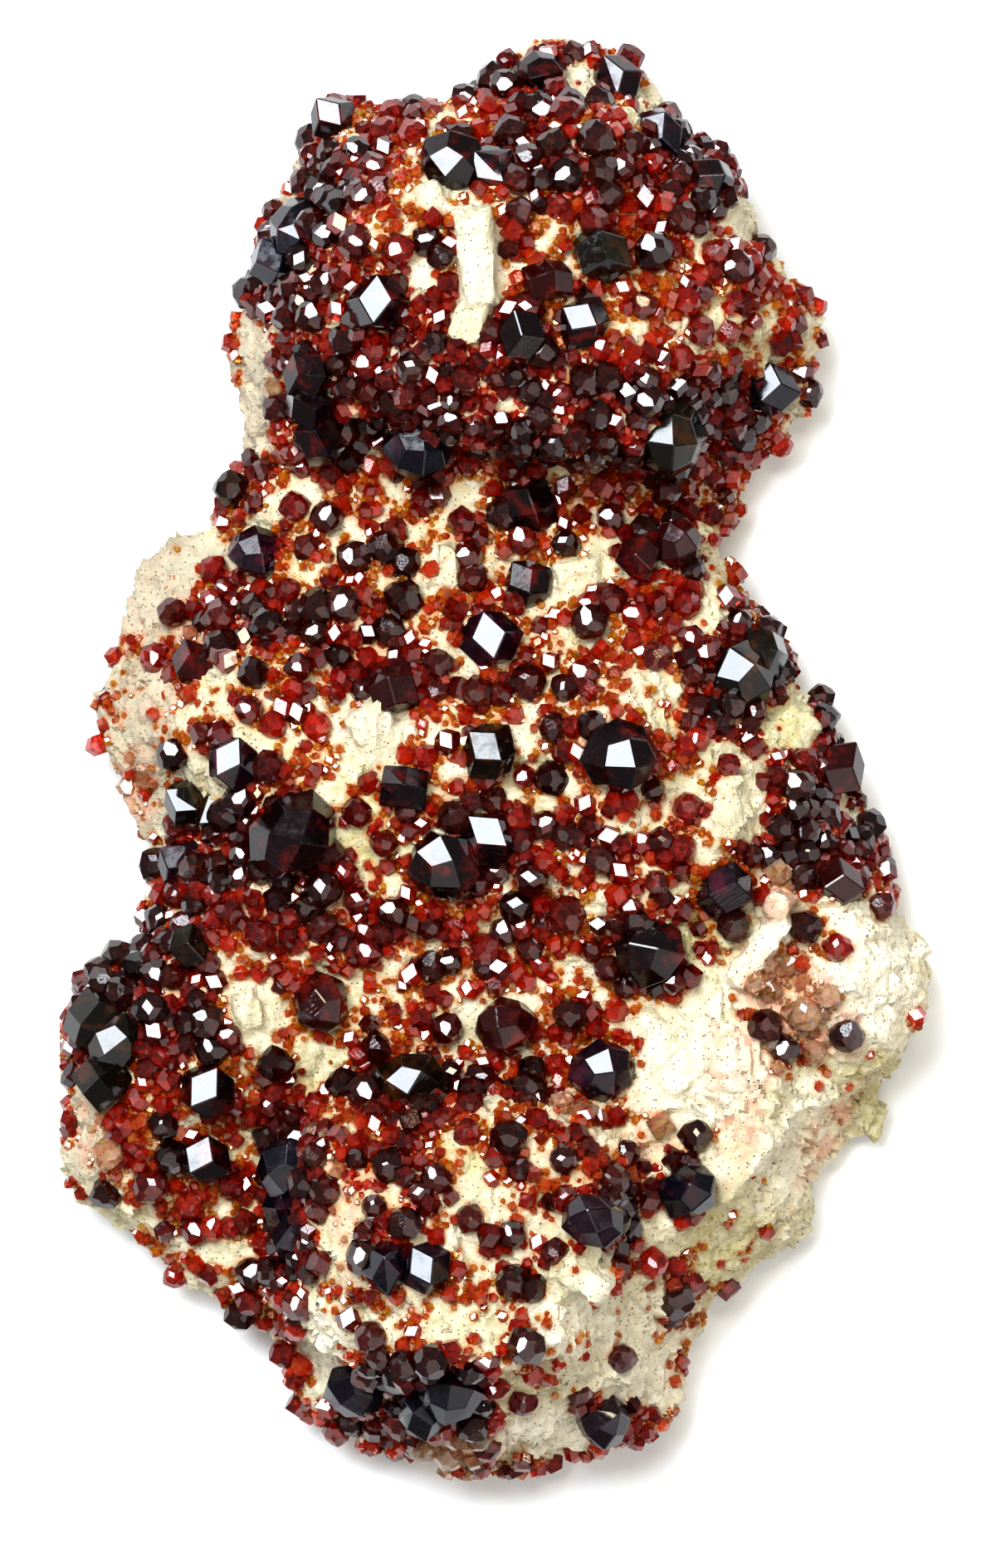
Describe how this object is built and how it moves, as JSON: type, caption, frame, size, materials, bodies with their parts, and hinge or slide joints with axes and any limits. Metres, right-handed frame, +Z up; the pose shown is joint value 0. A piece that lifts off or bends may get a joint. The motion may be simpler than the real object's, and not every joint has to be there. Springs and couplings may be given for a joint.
{
  "type": "garnet in matrix mineral specimen",
  "caption": "Irregular plate of cream feldspar rock overgrown with dark red garnet crystals, lying on its flat cut back.",
  "frame": {"origin": "middle of the flat cut underside, on the surface that the plate lies on", "axes": "+Z up out of the crystal side, +Y along the plate from its foot to its domed head, +X to the right of the crystal side"},
  "size_m": [0.1063, 0.1754, 0.0381],
  "materials": {
    "feldspar_rock": "rough cream broken feldspar with orange-brown and pink stains",
    "red_garnet": "glassy deep red crystal faces, lit orange-red where thin",
    "dark_garnet": "glassy near-black crystal faces with a red, purple or green cast"
  },
  "bodies": {
    "root": {"matrix": "feldspar_rock", "garnet_head_corner": "red_garnet", "garnet_head_pair_left": "dark_garnet", "garnet_head_pair_top": "dark_garnet", "garnet_head_crest": "red_garnet", "garnet_head_pair_upper": "dark_garnet", "garnet_head_blue": "red_garnet", "garnet_head_green": "dark_garnet", "garnet_head_mirror": "red_garnet", "garnet_head_beside_blade": "dark_garnet", "garnet_head_glassy": "dark_garnet", "garnet_head_brow": "dark_garnet", "garnet_head_right_rim": "red_garnet", "garnet_head_shoulder": "dark_garnet", "garnet_neck_trio": "red_garnet", "garnet_neck_left": "dark_garnet", "garnet_neck_right": "dark_garnet", "garnet_neck_shard": "red_garnet", "garnet_neck_tall": "dark_garnet", "garnet_neck_pair_right": "red_garnet", "garnet_chest_middle": "red_garnet", "garnet_chest_lavender": "red_garnet", "garnet_left_flat": "red_garnet", "garnet_left_upper": "red_garnet", "garnet_left_pair": "red_garnet", "garnet_largest": "dark_garnet", "garnet_left_lower": "red_garnet", "garnet_left_green": "dark_garnet", "garnet_chest_left": "red_garnet", "garnet_middle_striped": "red_garnet", "garnet_middle_black": "dark_garnet", "garnet_middle_left": "red_garnet", "garnet_middle_pair": "red_garnet", "garnet_middle_lower": "dark_garnet", "garnet_right_trio": "dark_garnet", "garnet_right_rim": "red_garnet", "garnet_right_lower": "red_garnet", "garnet_right_purple": "red_garnet", "garnet_rim_trio": "dark_garnet", "garnet_lower_mirror": "red_garnet", "garnet_lower_dark": "red_garnet", "garnet_lower_left": "red_garnet", "garnet_wall_group": "dark_garnet", "garnet_lower_red": "red_garnet", "garnet_lower_white": "red_garnet", "garnet_block_edge": "red_garnet", "garnet_block_pair": "red_garnet", "garnet_block_right": "red_garnet", "garnet_lower_black": "dark_garnet", "garnet_foot_left": "dark_garnet", "garnet_foot_pair": "dark_garnet", "garnet_foot_right": "red_garnet"}
  },
  "joints": []
}
